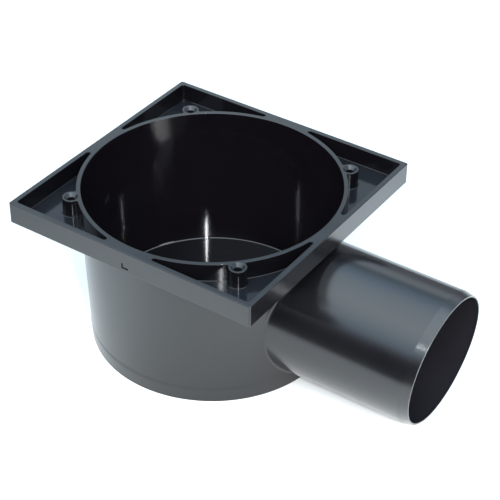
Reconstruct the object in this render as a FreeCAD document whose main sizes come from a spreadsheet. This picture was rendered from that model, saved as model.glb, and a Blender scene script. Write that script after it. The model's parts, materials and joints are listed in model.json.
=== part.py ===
import FreeCAD, Part
import Sketcher
import math
import os
from FreeCAD import Vector

# Shower drain body, moulded in one piece: a square frame with corner pockets and screw bosses,
# a tapered cup and a side outlet.
# The origin is the centre of the frame's top face. +Z points up out of the cup, +X along the outlet.

doc = FreeCAD.newDocument("shower_drain")

driving_dimensions = [
    ("frame_side", 152.0, "outside width of the square frame"),
    ("frame_height", 12.4, "height of the frame's outer wall"),
    ("frame_wall", 3.0, "thickness of the frame's outer wall"),
    ("frame_corner_radius", 0.8, "rounding of the frame's upright corners"),
    ("pocket_floor", 2.4, "thickness left under the corner pockets"),
    ("pocket_corner_radius", 1.5, "rounding in the pocket's outer corner"),
    ("pocket_tip_radius", 1.2, "rounding of the pocket's narrow ends"),
    ("pocket_floor_bevel", 0.5, "bevel between the pocket's floor and its walls"),
    ("ring_gap", 0.7, "distance from the ring wall to the frame's wall at the middle of a side"),
    ("ring_wall", 2.5, "thickness of the ring wall between the cup and the pockets"),
    ("rim_bevel", 0.4, "bevel of the frame's outer top edge and of the cup's mouth"),
    ("boss_stand_off", 2.7, "distance from the ring wall's outside to a boss's axis"),
    ("boss_diameter", 9.6, "outside of a screw boss"),
    ("boss_rim", 1.1, "flat rim left round the lead-in"),
    ("boss_neck_radius", 1.0, "rounding where a boss flows into the ring wall"),
    ("screw_hole_diameter", 4.0, "hole for the grate's screw"),
    ("lead_in_angle", 90.0, "opening angle of the conical lead-in"),
    ("cup_wall", 1.6, "thickness of the cup's wall"),
    ("cup_draft", 1.94, "taper of the cup's wall on each side, in degrees"),
    ("floor_lift", 9.0, "height of the cup's floor above the foot ring"),
    ("floor_thickness", 2.5, "thickness of the cup's floor"),
    ("floor_fillet", 1.3, "fillet between the cup's wall and floor"),
    ("foot_wall", 2.0, "thickness of the foot ring at its lower edge"),
    ("outlet_diameter", 75.0, "outside of the outlet spigot"),
    ("outlet_wall", 2.1, "thickness of the outlet's wall"),
    ("outlet_headroom", 3.4, "gap between the frame's underside and the outlet"),
    ("outlet_lift", 3.6, "height of the outlet's underside above the foot ring"),
    ("outlet_projection", 68.5, "length of the outlet beyond the frame's side, on its axis"),
    ("outlet_end_lean", 4.5, "lean of the outlet's end, top edge further out, in degrees"),
    ("outlet_lip", 0.9, "wall left at the outlet's mouth inside the bevel"),
    ("outlet_bevel_length", 5.5, "length of the bevel along the outlet"),
    ("saddle_fillet", 2.5, "fillet between the outlet and the cup"),
    ("gate_width", 4.2, "width of the moulding gate's recess in the frame's side"),
    ("gate_height", 3.2, "height of that recess"),
    ("gate_depth", 0.8, "depth of that recess"),
    ("gate_lift", 2.0, "height of the recess above the frame's lower edge"),
]

derived_dimensions = [
    ("top_level", "=0", "depth of the top face below the origin"),
    ("frame_inside", "=frame_side / 2 - frame_wall", "half the frame's inside width"),
    ("pocket_depth", "=frame_height - pocket_floor", "depth of the corner pockets"),
    ("ring_radius", "=frame_inside - ring_gap", "outside radius of the ring wall"),
    ("mouth_radius", "=ring_radius - ring_wall", "inside radius of the cup at its top"),
    ("boss_radius", "=boss_diameter / 2", "outside radius of a boss"),
    ("boss_reach", "=ring_radius + boss_stand_off", "distance of a boss's axis from the cup's axis"),
    ("boss_offset", "=boss_reach * sqrt(0.5)", "distance of a boss's axis from the middle planes"),
    ("lead_in_diameter", "=boss_diameter - 2 * boss_rim", "width of the lead-in at the top"),
    ("bore_diameter", "=outlet_diameter - 2 * outlet_wall", "inside of the outlet"),
    ("bevel_rise", "=outlet_wall - outlet_lip", "height of the bevel on the end face"),
    ("cup_height", "=frame_height + outlet_headroom + outlet_diameter + outlet_lift", "whole height"),
    ("cup_top_radius", "=mouth_radius + cup_wall", "outside radius of the cup's cone at the top face"),
    ("cup_base_radius", "=cup_top_radius - cup_height * tan(cup_draft * 1deg)", "outside at the foot"),
    ("floor_depth", "=cup_height - floor_lift", "depth of the cup inside"),
    ("floor_radius", "=mouth_radius - floor_depth * tan(cup_draft * 1deg)", "inside radius at the floor"),
    ("foot_radius", "=cup_base_radius - foot_wall", "inside radius of the foot ring"),
    ("foot_depth", "=floor_depth + floor_thickness", "depth of the floor's underside"),
    ("outlet_depth", "=cup_height - outlet_lift - outlet_diameter / 2", "depth of the outlet's axis"),
    ("outlet_reach", "=frame_side / 2 + outlet_projection", "end of the outlet on its axis"),
    ("outlet_blank", "=outlet_reach + outlet_diameter * tan(outlet_end_lean * 1deg)", "uncut outlet"),
]

sheet = doc.addObject("Spreadsheet::Sheet", "sizes")
for row, (alias, value, note) in enumerate(driving_dimensions + derived_dimensions, start=1):
    sheet.set(f"A{row}", note)
    sheet.set(f"B{row}", str(value))
    sheet.setAlias(f"B{row}", alias)
doc.recompute()


def size(alias):
    return float(getattr(sheet, alias))


body = doc.addObject("PartDesign::Body", "drain_body")
body.Label = "drain_body"
body.Placement = FreeCAD.Placement()


def origin_feature(role):
    return next(item for item in body.Origin.OriginFeatures if item.Role == role)


def new_sketch(name, role):
    sketch = body.newObject("Sketcher::SketchObject", name)
    sketch.AttachmentSupport = [(origin_feature(role), "")]
    sketch.MapMode = "FlatFace"
    return sketch


def dimension(sketch, name, expression, kind, *references):
    # a named size of the sketch, tied to the sheet
    index = sketch.addConstraint(Sketcher.Constraint(kind, *references))
    sketch.renameConstraint(index, name)
    sketch.setExpression(f"Constraints.{name}", expression)


def outline(sketch, points):
    # a closed run of straight lines, joined end to end
    lines = []
    for start, end in zip(points, points[1:] + points[:1]):
        lines.append(sketch.addGeometry(Part.LineSegment(Vector(*start), Vector(*end)), False))
    for line, following in zip(lines, lines[1:] + lines[:1]):
        sketch.addConstraint(Sketcher.Constraint("Coincident", line, 2, following, 1))
    return lines


def settle(feature):
    # recomputes and stops at once where a feature failed
    doc.recompute()
    failed = [item.Name for item in doc.Objects if "Invalid" in item.State or "Error" in item.State]
    if failed:
        raise RuntimeError(f"failed features: {failed}")
    return feature


def removed(feature, volume_before):
    # a cut has to take material away
    settle(feature)
    if feature.Shape.Volume >= volume_before - 1e-3:
        raise RuntimeError(f"{feature.Name} cut nothing")
    return feature


def bind(feature, **expressions):
    for name, expression in expressions.items():
        feature.setExpression(name, expression)


def shared_edges(shape, first, second):
    # names of the edges between a face of the first kind and a face of the second kind
    names = []
    for index, edge in enumerate(shape.Edges, start=1):
        faces = shape.ancestorsOfType(edge, Part.Face)
        if len(faces) == 2 and any(first(a) and second(b) for a, b in (faces, faces[::-1])):
            names.append(f"Edge{index}")
    return names


def rounding(name, base, edges, expression):
    fillet = body.newObject("PartDesign::Fillet", name)
    fillet.Base = (base, edges)
    fillet.setExpression("Radius", expression)
    return settle(fillet)


def broken_edges(name, base, edges, expression):
    chamfer = body.newObject("PartDesign::Chamfer", name)
    chamfer.Base = (base, edges)
    chamfer.setExpression("Size", expression)
    return settle(chamfer)


def cylinder_of(radius):
    def matches(face):
        return face.Surface.TypeId == "Part::GeomCylinder" and abs(face.Surface.Radius - radius) < 1e-4
    return matches


def level_at(height):
    def matches(face):
        surface = face.Surface
        flat = surface.TypeId == "Part::GeomPlane" and abs(surface.Axis.z) > 0.9999
        return flat and abs(surface.Position.z - height) < 1e-4
    return matches


def cone(face):
    return face.Surface.TypeId == "Part::GeomCone"


def upright_plane(face):
    return face.Surface.TypeId == "Part::GeomPlane" and abs(face.Surface.Axis.z) < 1e-4


def any_face(face):
    return True


def ring_profile(name, top_radius, base_radius, top_depth, base_depth):
    # half section between the cup's axis and a straight flank, for a body of revolution
    sketch = new_sketch(name, "XZ_Plane")
    points = [
        (0, -size(top_depth)),
        (size(top_radius), -size(top_depth)),
        (size(base_radius), -size(base_depth)),
        (0, -size(base_depth)),
    ]
    top, flank, base, axis = outline(sketch, points)
    sketch.addConstraint(Sketcher.Constraint("Horizontal", top))
    sketch.addConstraint(Sketcher.Constraint("Horizontal", base))
    sketch.addConstraint(Sketcher.Constraint("PointOnObject", top, 1, -2))
    sketch.addConstraint(Sketcher.Constraint("PointOnObject", base, 2, -2))
    dimension(sketch, "top_radius", f"sizes.{top_radius}", "DistanceX", top, 1, top, 2, size(top_radius))
    dimension(sketch, "base_radius", f"sizes.{base_radius}", "DistanceX", base, 2, base, 1, size(base_radius))
    dimension(sketch, "top_depth", f"sizes.{top_depth}", "DistanceY", top, 1, -1, 1, size(top_depth))
    dimension(sketch, "base_depth", f"sizes.{base_depth}", "DistanceY", base, 2, -1, 1, size(base_depth))
    return sketch


def turned(kind, name, sketch):
    feature = body.newObject(kind, name)
    feature.Profile = sketch
    feature.ReferenceAxis = (sketch, ["V_Axis"])
    feature.Angle = 360
    return feature


# Outlet spigot: a tube along +X, a little too long until its end is cut
outlet_section = new_sketch("outlet_section", "YZ_Plane")
outlet_centre = Vector(0, -size("outlet_depth"))
for diameter in ("outlet_diameter", "bore_diameter"):
    edge = Part.Circle(outlet_centre, Vector(0, 0, 1), size(diameter) / 2)
    circle = outlet_section.addGeometry(edge, False)
    outlet_section.addConstraint(Sketcher.Constraint("PointOnObject", circle, 3, -2))
    dimension(outlet_section, diameter, f"sizes.{diameter}", "Diameter", circle, size(diameter))
    drop = -outlet_centre.y
    dimension(outlet_section, f"{diameter}_depth", "sizes.outlet_depth", "DistanceY", circle, 3, -1, 1, drop)
outlet_tube = body.newObject("PartDesign::Pad", "outlet_tube")
outlet_tube.Profile = outlet_section
bind(outlet_tube, Length="sizes.outlet_blank")
settle(outlet_tube)

# Cup: a tapered solid that closes the tube's inner end, filleted where the outlet leaves it
cup_profile = ring_profile("cup_profile", "cup_top_radius", "cup_base_radius", "top_level", "cup_height")
cup_outside = settle(turned("PartDesign::Revolution", "cup_outside", cup_profile))
saddle = shared_edges(cup_outside.Shape, cone, cylinder_of(size("outlet_diameter") / 2))
saddle_rounding = rounding("saddle_rounding", cup_outside, saddle, "sizes.saddle_fillet")

# Square frame round the cup's top
frame_outline = new_sketch("frame_outline", "XY_Plane")
half_side = size("frame_side") / 2
frame_points = [
    (-half_side, -half_side),
    (half_side, -half_side),
    (half_side, half_side),
    (-half_side, half_side),
]
front, right, rear, left = outline(frame_outline, frame_points)
for line in (front, rear):
    frame_outline.addConstraint(Sketcher.Constraint("Horizontal", line))
for line in (right, left):
    frame_outline.addConstraint(Sketcher.Constraint("Vertical", line))
frame_outline.addConstraint(Sketcher.Constraint("Symmetric", front, 1, rear, 1, -1, 1))
frame_outline.addConstraint(Sketcher.Constraint("Equal", front, right))
dimension(frame_outline, "side", "sizes.frame_side", "DistanceX", front, 1, front, 2, size("frame_side"))
frame_block = body.newObject("PartDesign::Pad", "frame_block")
frame_block.Profile = frame_outline
frame_block.Reversed = True
bind(frame_block, Length="sizes.frame_height")
settle(frame_block)
corners = shared_edges(frame_block.Shape, upright_plane, upright_plane)
frame_corners = rounding("frame_corners", frame_block, corners, "sizes.frame_corner_radius")

# Inside of the cup, down to the floor
inside_profile = ring_profile("inside_profile", "mouth_radius", "floor_radius", "top_level", "floor_depth")
cup_inside = removed(turned("PartDesign::Groove", "cup_inside", inside_profile), frame_corners.Shape.Volume)
floor_edge = shared_edges(cup_inside.Shape, cone, level_at(-size("floor_depth")))
floor_rounding = rounding("floor_rounding", cup_inside, floor_edge, "sizes.floor_fillet")

# Hollow under the floor, inside the foot ring
foot_profile = ring_profile("foot_profile", "foot_radius", "foot_radius", "foot_depth", "cup_height")
foot_hollow = removed(turned("PartDesign::Groove", "foot_hollow", foot_profile), floor_rounding.Shape.Volume)

# Way from the cup into the outlet: the bore's circle, flat at floor level, with the foot ring closed below
opening = new_sketch("opening_section", "YZ_Plane")
bore_radius = size("bore_diameter") / 2
floor_drop = size("floor_depth") - size("outlet_depth")
sill_angle = math.asin(-floor_drop / bore_radius)
bore_circle = Part.Circle(outlet_centre, Vector(0, 0, 1), bore_radius)
arc = opening.addGeometry(Part.ArcOfCircle(bore_circle, sill_angle, math.pi - sill_angle), False)
sill_half = bore_radius * math.cos(sill_angle)
sill_ends = [Vector(side * sill_half, -size("floor_depth")) for side in (-1, 1)]
sill = opening.addGeometry(Part.LineSegment(*sill_ends), False)
opening.addConstraint(Sketcher.Constraint("Coincident", arc, 2, sill, 1))
opening.addConstraint(Sketcher.Constraint("Coincident", sill, 2, arc, 1))
opening.addConstraint(Sketcher.Constraint("Horizontal", sill))
opening.addConstraint(Sketcher.Constraint("PointOnObject", arc, 3, -2))
dimension(opening, "bore", "sizes.bore_diameter / 2", "Radius", arc, bore_radius)
dimension(opening, "axis_depth", "sizes.outlet_depth", "DistanceY", arc, 3, -1, 1, size("outlet_depth"))
dimension(opening, "sill_depth", "sizes.floor_depth", "DistanceY", sill, 1, -1, 1, size("floor_depth"))
outlet_opening = body.newObject("PartDesign::Pocket", "outlet_opening")
outlet_opening.Profile = opening
outlet_opening.Reversed = True
bind(outlet_opening, Length="sizes.cup_top_radius")
removed(outlet_opening, foot_hollow.Shape.Volume)

# Corner pocket: one outline of the frame's walls, the ring wall and the screw boss that grows out of it
pocket_outline = new_sketch("pocket_outline", "XY_Plane")
inside = size("frame_inside")
ring = size("ring_radius")
tip = size("pocket_tip_radius")
corner = size("pocket_corner_radius")
neck = size("boss_neck_radius")
boss = size("boss_radius")
boss_reach = size("boss_reach")
boss_centre = Vector(size("boss_offset"), size("boss_offset"))
tip_height = math.sqrt((ring + tip) ** 2 - (inside - tip) ** 2)
tip_centre = Vector(inside - tip, tip_height)
neck_cosine = ((ring + neck) ** 2 + boss_reach ** 2 - (boss + neck) ** 2) / (2 * (ring + neck) * boss_reach)
neck_angle = math.pi / 4 - math.acos(neck_cosine)
neck_centre = Vector(math.cos(neck_angle), math.sin(neck_angle)) * (ring + neck)
corner_centre = Vector(inside - corner, inside - corner)


def mirrored(point):
    # the same point on the other side of the pocket's diagonal
    return Vector(point.y, point.x)


def toward(start, end, distance):
    return start + (end - start).normalize() * distance


def arc_between(centre, start, end, turn):
    # arc round a centre from one point to another; turn is 1 anticlockwise, -1 clockwise
    radius = (start - centre).Length
    first = math.atan2(start.y - centre.y, start.x - centre.x)
    last = math.atan2(end.y - centre.y, end.x - centre.x)
    circle = Part.Circle(centre, Vector(0, 0, 1), radius)
    angles = (first, last) if turn > 0 else (last, first)
    return pocket_outline.addGeometry(Part.ArcOfCircle(circle, *angles), False)


origin = Vector(0, 0)
wall_low = Vector(inside, tip_height)
wall_high = Vector(inside, inside - corner)
ring_low = toward(origin, tip_centre, ring)
ring_high = toward(origin, neck_centre, ring)
boss_low = toward(boss_centre, neck_centre, boss)

right_wall = pocket_outline.addGeometry(Part.LineSegment(wall_low, wall_high), False)
corner_arc = arc_between(corner_centre, wall_high, mirrored(wall_high), 1)
rear_wall = pocket_outline.addGeometry(Part.LineSegment(mirrored(wall_high), mirrored(wall_low)), False)
rear_tip = arc_between(mirrored(tip_centre), mirrored(wall_low), mirrored(ring_low), 1)
rear_ring = arc_between(origin, mirrored(ring_low), mirrored(ring_high), -1)
rear_neck = arc_between(mirrored(neck_centre), mirrored(ring_high), mirrored(boss_low), 1)
boss_arc = arc_between(boss_centre, mirrored(boss_low), boss_low, -1)
right_neck = arc_between(neck_centre, boss_low, ring_high, 1)
right_ring = arc_between(origin, ring_high, ring_low, -1)
right_tip = arc_between(tip_centre, ring_low, wall_low, 1)

# the elements in the outline's order; an arc drawn clockwise meets its neighbours the other way round
run = [
    right_wall, corner_arc, rear_wall, rear_tip, rear_ring,
    rear_neck, boss_arc, right_neck, right_ring, right_tip,
]
clockwise = [rear_ring, boss_arc, right_ring]


def first_point(element):
    return 2 if element in clockwise else 1


def last_point(element):
    return 1 if element in clockwise else 2


for element, following in zip(run, run[1:] + run[:1]):
    joint = (element, last_point(element), following, first_point(following))
    pocket_outline.addConstraint(Sketcher.Constraint("Tangent", *joint))
pocket_outline.addConstraint(Sketcher.Constraint("Vertical", right_wall))
pocket_outline.addConstraint(Sketcher.Constraint("Horizontal", rear_wall))
for arc in (rear_ring, right_ring):
    pocket_outline.addConstraint(Sketcher.Constraint("Coincident", arc, 3, -1, 1))
for first, second in ((rear_ring, right_ring), (rear_neck, right_neck), (rear_tip, right_tip)):
    pocket_outline.addConstraint(Sketcher.Constraint("Equal", first, second))
dimension(pocket_outline, "right_wall", "sizes.frame_inside", "DistanceX", -1, 1, right_wall, 1, inside)
dimension(pocket_outline, "rear_wall", "sizes.frame_inside", "DistanceY", -1, 1, rear_wall, 1, inside)
dimension(pocket_outline, "ring", "sizes.ring_radius", "Radius", right_ring, ring)
dimension(pocket_outline, "tip", "sizes.pocket_tip_radius", "Radius", right_tip, tip)
dimension(pocket_outline, "corner", "sizes.pocket_corner_radius", "Radius", corner_arc, corner)
dimension(pocket_outline, "neck", "sizes.boss_neck_radius", "Radius", right_neck, neck)
dimension(pocket_outline, "boss", "sizes.boss_radius", "Radius", boss_arc, boss)
dimension(pocket_outline, "boss_x", "sizes.boss_offset", "DistanceX", -1, 1, boss_arc, 3, boss_centre.x)
dimension(pocket_outline, "boss_y", "sizes.boss_offset", "DistanceY", -1, 1, boss_arc, 3, boss_centre.y)
corner_pocket = body.newObject("PartDesign::Pocket", "corner_pocket")
corner_pocket.Profile = pocket_outline
bind(corner_pocket, Length="sizes.pocket_depth")
removed(corner_pocket, outlet_opening.Shape.Volume)

# Screw hole with a conical lead-in, down the middle of the boss
hole_place = new_sketch("hole_place", "XY_Plane")
hole_radius = size("screw_hole_diameter") / 2
circle = hole_place.addGeometry(Part.Circle(boss_centre, Vector(0, 0, 1), hole_radius), False)
dimension(hole_place, "hole", "sizes.screw_hole_diameter", "Diameter", circle, 2 * hole_radius)
dimension(hole_place, "boss_x", "sizes.boss_offset", "DistanceX", -1, 1, circle, 3, boss_centre.x)
dimension(hole_place, "boss_y", "sizes.boss_offset", "DistanceY", -1, 1, circle, 3, boss_centre.y)
doc.recompute()
screw_hole = body.newObject("PartDesign::Hole", "screw_hole")
screw_hole.Profile = hole_place
screw_hole.DepthType = "Dimension"
screw_hole.DrillPoint = "Flat"
screw_hole.HoleCutType = "Countersink"
bind(
    screw_hole,
    Diameter="sizes.screw_hole_diameter",
    Depth="sizes.pocket_depth",
    HoleCutDiameter="sizes.lead_in_diameter",
    HoleCutCountersinkAngle="sizes.lead_in_angle",
)
removed(screw_hole, corner_pocket.Shape.Volume)

# The same pocket, boss and hole in all four corners
corner_pattern = body.newObject("PartDesign::PolarPattern", "corner_pattern")
corner_pattern.Originals = [corner_pocket, screw_hole]
corner_pattern.Axis = (origin_feature("Z_Axis"), [""])
corner_pattern.Angle = 360
corner_pattern.Occurrences = 4
body.Tip = corner_pattern
removed(corner_pattern, screw_hole.Shape.Volume)



def pocket_floor(face):
    return level_at(-size("pocket_depth"))(face) and face.BoundBox.XLength > size("boss_diameter")


def deep_wall(face):
    # the frame's outside and the cup's inside run deeper than the pockets do
    return face.BoundBox.ZMin < -size("pocket_depth")


# Bevels round the pocket floors, along the frame's top edge and round the cup's mouth
floor_edges = shared_edges(corner_pattern.Shape, pocket_floor, any_face)
pocket_bevel = broken_edges("pocket_bevel", corner_pattern, floor_edges, "sizes.pocket_floor_bevel")
top_edges = shared_edges(pocket_bevel.Shape, level_at(-size("top_level")), deep_wall)
rim_bevel = broken_edges("rim_bevel", pocket_bevel, top_edges, "sizes.rim_bevel")

# Outlet's end: cut to length by a plane that leans a little, then bevelled to a thin lip
end_cut = new_sketch("end_cut", "XZ_Plane")
cut_half = size("outlet_diameter")
lean = math.radians(size("outlet_end_lean"))
end_centre = Vector(size("outlet_reach"), -size("outlet_depth"))
lean_step = Vector(math.tan(lean), 1) * cut_half
lean_low = end_centre - lean_step
lean_high = end_centre + lean_step
far_side = lean_high.x + cut_half
cut_points = [
    (lean_low.x, lean_low.y),
    (far_side, lean_low.y),
    (far_side, lean_high.y),
    (lean_high.x, lean_high.y),
]
low_line, far_line, high_line, lean_line = outline(end_cut, cut_points)
middle = end_cut.addGeometry(Part.Point(end_centre), True)
end_cut.addConstraint(Sketcher.Constraint("Horizontal", low_line))
end_cut.addConstraint(Sketcher.Constraint("Vertical", far_line))
end_cut.addConstraint(Sketcher.Constraint("Horizontal", high_line))
end_cut.addConstraint(Sketcher.Constraint("Symmetric", lean_line, 1, lean_line, 2, middle, 1))
dimension(end_cut, "reach", "sizes.outlet_reach", "DistanceX", -1, 1, middle, 1, end_centre.x)
dimension(end_cut, "axis_depth", "sizes.outlet_depth", "DistanceY", middle, 1, -1, 1, -end_centre.y)
lean_expression = "sizes.outlet_diameter * tan(sizes.outlet_end_lean * 1deg)"
dimension(end_cut, "lean", lean_expression, "DistanceX", middle, 1, lean_line, 1, lean_step.x)
dimension(end_cut, "height", "sizes.outlet_diameter", "DistanceY", middle, 1, lean_line, 1, cut_half)
dimension(end_cut, "width", "sizes.outlet_diameter", "DistanceX", high_line, 2, high_line, 1, cut_half)
outlet_end = body.newObject("PartDesign::Pocket", "outlet_end")
outlet_end.Profile = end_cut
outlet_end.Type = "ThroughAll"
outlet_end.SideType = "Symmetric"
removed(outlet_end, rim_bevel.Shape.Volume)


def end_face(face):
    # the only flat face beyond the frame's side
    return face.Surface.TypeId == "Part::GeomPlane" and face.BoundBox.XMin > half_side


mouth_edge = shared_edges(outlet_end.Shape, end_face, cylinder_of(size("outlet_diameter") / 2))
outlet_bevel = body.newObject("PartDesign::Chamfer", "outlet_bevel")
outlet_bevel.Base = (outlet_end, mouth_edge)
outlet_bevel.ChamferType = "Two distances"
outlet_bevel.FlipDirection = True
bind(outlet_bevel, Size="sizes.outlet_bevel_length", Size2="sizes.bevel_rise")
removed(outlet_bevel, outlet_end.Shape.Volume)

# Recess left by the moulding gate, in the middle of the frame's front side
gate_outline = new_sketch("gate_outline", "XZ_Plane")
gate_outline.setExpression("AttachmentOffset.Base.z", "sizes.frame_side / 2")
gate_half = size("gate_width") / 2
gate_low = size("gate_lift") - size("frame_height")
gate_high = gate_low + size("gate_height")
gate_points = [
    (-gate_half, gate_low),
    (gate_half, gate_low),
    (gate_half, gate_high),
    (-gate_half, gate_high),
]
gate_lower, gate_right, gate_upper, gate_left = outline(gate_outline, gate_points)
gate_outline.addConstraint(Sketcher.Constraint("Horizontal", gate_upper))
for line in (gate_right, gate_left):
    gate_outline.addConstraint(Sketcher.Constraint("Vertical", line))
gate_outline.addConstraint(Sketcher.Constraint("Symmetric", gate_lower, 1, gate_lower, 2, -2))
dimension(gate_outline, "width", "sizes.gate_width", "DistanceX", gate_lower, 1, gate_lower, 2, 2 * gate_half)
gate_rise = gate_high - gate_low
dimension(gate_outline, "height", "sizes.gate_height", "DistanceY", gate_right, 1, gate_right, 2, gate_rise)
gate_drop = "sizes.frame_height - sizes.gate_lift"
dimension(gate_outline, "drop", gate_drop, "DistanceY", gate_lower, 1, -1, 1, -gate_low)
gate_recess = body.newObject("PartDesign::Pocket", "gate_recess")
gate_recess.Profile = gate_outline
bind(gate_recess, Length="sizes.gate_depth")
removed(gate_recess, outlet_bevel.Shape.Volume)

# Only a whole, valid solid is written
settle(body)
if body.Shape.isNull() or not body.Shape.isValid() or len(body.Shape.Solids) != 1:
    raise RuntimeError("the drain body is not one valid solid")
os.makedirs("parts", exist_ok=True)
body.Shape.exportStep(os.path.join("parts", f"{body.Label}.step"))
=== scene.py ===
import json
import math
from types import SimpleNamespace

import bmesh
import bpy
import numpy as np
from mathutils import Matrix, Vector
from mathutils.geometry import tessellate_polygon


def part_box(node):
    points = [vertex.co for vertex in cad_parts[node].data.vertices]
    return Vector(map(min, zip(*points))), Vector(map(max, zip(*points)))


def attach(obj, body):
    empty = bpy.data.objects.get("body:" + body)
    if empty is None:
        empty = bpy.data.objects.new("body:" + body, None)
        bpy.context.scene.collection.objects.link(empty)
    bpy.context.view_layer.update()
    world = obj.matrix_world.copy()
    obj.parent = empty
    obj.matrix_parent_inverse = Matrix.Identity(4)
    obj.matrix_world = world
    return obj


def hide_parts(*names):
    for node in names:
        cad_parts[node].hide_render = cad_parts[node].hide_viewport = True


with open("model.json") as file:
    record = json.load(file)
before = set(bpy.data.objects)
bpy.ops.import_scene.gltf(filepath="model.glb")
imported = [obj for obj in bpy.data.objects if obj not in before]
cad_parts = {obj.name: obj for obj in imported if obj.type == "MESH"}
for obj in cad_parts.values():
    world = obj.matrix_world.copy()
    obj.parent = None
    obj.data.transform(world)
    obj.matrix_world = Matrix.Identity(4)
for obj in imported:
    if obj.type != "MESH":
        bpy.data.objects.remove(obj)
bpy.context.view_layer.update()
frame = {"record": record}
mm = 0.001
tiny = 1e-6  # lengths in mm, or angles, that differ by less are the same
sides = 4  # of the square frame
quarter = math.tau / sides
low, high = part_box("drain_body")
mounts = {mount["name"]: mount for mount in frame["record"]["mounts"]}
print("frame loaded, box in mm:", [round(side / mm, 1) for side in high - low])


# drain body: sizes in mm, angles in degrees; the sizes that the frame holds are read from it
bodySizes = {
    "frameSide": (high.y - low.y) / mm,
    "height": -low.z / mm,
    "frameHeight": 12.4,
    "frameWall": 3.0,
    "frameCorner": 0.8,
    "rimRound": 0.4,  # rounding of the frame's top edge and the cup's mouth
    "underRound": 0.4,  # rounding of the frame's lower edge
    "pocketDepth": 10.0,
    "pocketCorner": 1.5,
    "pocketTip": 1.2,
    "pocketRim": 0.3,  # rounding of the pockets' top edges
    "pocketFloor": 0.5,  # fillet at the pockets' floors
    "ringGap": 0.7,
    "ringWall": 2.5,
    "bossReach": mounts["grate_screws"]["dims"]["pcd_mm"] / 2,
    "bossRadius": 4.8,
    "bossNeck": 1.0,
    "holeRadius": mounts["grate_screws"]["dims"]["hole_r_mm"],
    "leadIn": 3.7,
    "leadRound": 0.2,
    "cupWall": 1.6,
    "cupDraft": 1.94,
    "floorLift": 9.0,
    "floorThickness": 2.5,
    "floorFillet": 0.8,
    "straightFrom": 50.0,  # depths between which the wall's sheen turns upright
    "straightTo": 64.0,
    "straightAt": 129.0,  # where round the wall it does so, and how far to each side
    "straightWide": 4.5,
    "footWall": 2.0,
    "footRound": 0.4,  # height at which the foot starts to round off
    "footEdge": 0.36,  # rounding of the foot's edges
    "footFillet": 0.8,
    "bandTop": 10.4,  # height of the faint step round the cup above its foot
    "bandStep": 0.2,
    "bandSoft": 2.6,  # height over which the step comes in
    "outletRadius": mounts["outlet_spigot"]["dims"]["r_mm"],
    "outletAxis": mounts["outlet_spigot"]["pos_m"][2] / mm,
    "outletEnd": mounts["outlet_end"]["pos_m"][0] / mm,
    "outletLean": 4.5,
    "outletWall": 2.1,
    "outletLip": 0.9,
    "bevelLength": 5.5,
    "turnMarks": 11,  # fine marks of the cutting tool on the bevel
    "turnTilt": 19.0,  # how far their sheen swings to and fro
    "lipRound": 0.25,
    "coarseFrom": 0.2,  # where the bore turns coarse: height above its axis, as a share of its radius
    "saddle": 2.5,  # fillet between the outlet and the cup
    "gateWidth": 4.2,
    "gateHeight": 3.2,
    "gateDepth": 0.55,
    "gateLift": 2.0,
    # how it is divided into faces
    "around": 192,  # columns round the cup
    "holeColumns": 48,  # columns round a screw hole
    "roundSteps": 5,  # steps in a small rounding
    "arcStep": 7.0,  # largest turn between two points of an arc
    "tipStep": 15.0,  # the same at the pockets' tips and the bosses' necks
    "ringStep": 1.5,  # along the ring wall
    "cornerStep": 12.0,  # round the frame's corners
    "outletRows": 28,  # rows of the cup's wall beside the outlet, down to the step
    "bandRows": 10,  # rows of the step
    "footRows": 4,  # rows from there to the foot
    "outletMargin": 3.75,  # cup wall kept beside the outlet's root, and half as much inside the cup
    "rootTries": 90,  # places at which the root's width is measured
    "wallLayers": 4,  # layers of faces that lead from the even wall to the root
    "saddleRows": 8,  # rows of the fillet
    "tubeRows": 6,  # rows along the outlet, outside and in the bore
    "plainRows": 2,  # rows at the bore's end that are dull all round
    "endRun": 1.0,  # straight run of tube and of bore beside the outlet's end
    "innerTop": 14.0,  # depth at which the cup's wall starts to give way to the outlet
    "archLayers": 5,  # layers of faces that lead from the even wall to the bore's arch
    "filletRows": 6,  # rows of the floor's fillet
    "sillSteps": 20,  # steps along the sill
    "weld": 0.002,  # points nearer than this are joined
}
size = SimpleNamespace(**bodySizes)
half = size.frameSide / 2
inside = half - size.frameWall
ring = inside - size.ringGap
mouth = ring - size.ringWall
draft = math.radians(size.cupDraft)
slope = math.tan(draft)
floorZ = size.floorLift - size.height
footTop = size.footRound - size.height
bore = size.outletRadius - size.outletWall
lean = math.tan(math.radians(size.outletLean))
sill = math.asin((floorZ - size.outletAxis) / bore)  # where round the bore the cup's floor meets it
columnStep = math.tau / size.around
columnAngles = np.arange(size.around) * math.tau / size.around
perQuarter = size.around // sides
finishes = ("satin", "walled", "floored", "polished", "dull", "coarse")
satin, walled, floored, polished, dull, coarse = range(len(finishes))  # material slots of the body
pocketFinishes = {"Walled": walled, "Floored": floored}


def outerRadius(z):
    return mouth + size.cupWall + z * slope


def innerRadius(z):
    return mouth + z * slope


def turnTo(angle):
    return np.array([math.cos(angle), math.sin(angle)])


def leftOf(way):
    return np.array([-way[1], way[0]])


def angleOf(start, end):
    return math.atan2(end[1] - start[1], end[0] - start[0])


def ahead(angle, start):
    # the same angle, written so that it is larger than start
    return start + (angle - start) % math.tau


# a skin collects faces with the true surface normal at every corner
def newSkin():
    skin = bmesh.new()
    skin.loops.layers.float_vector.new("surfaceNormal")
    return skin


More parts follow.
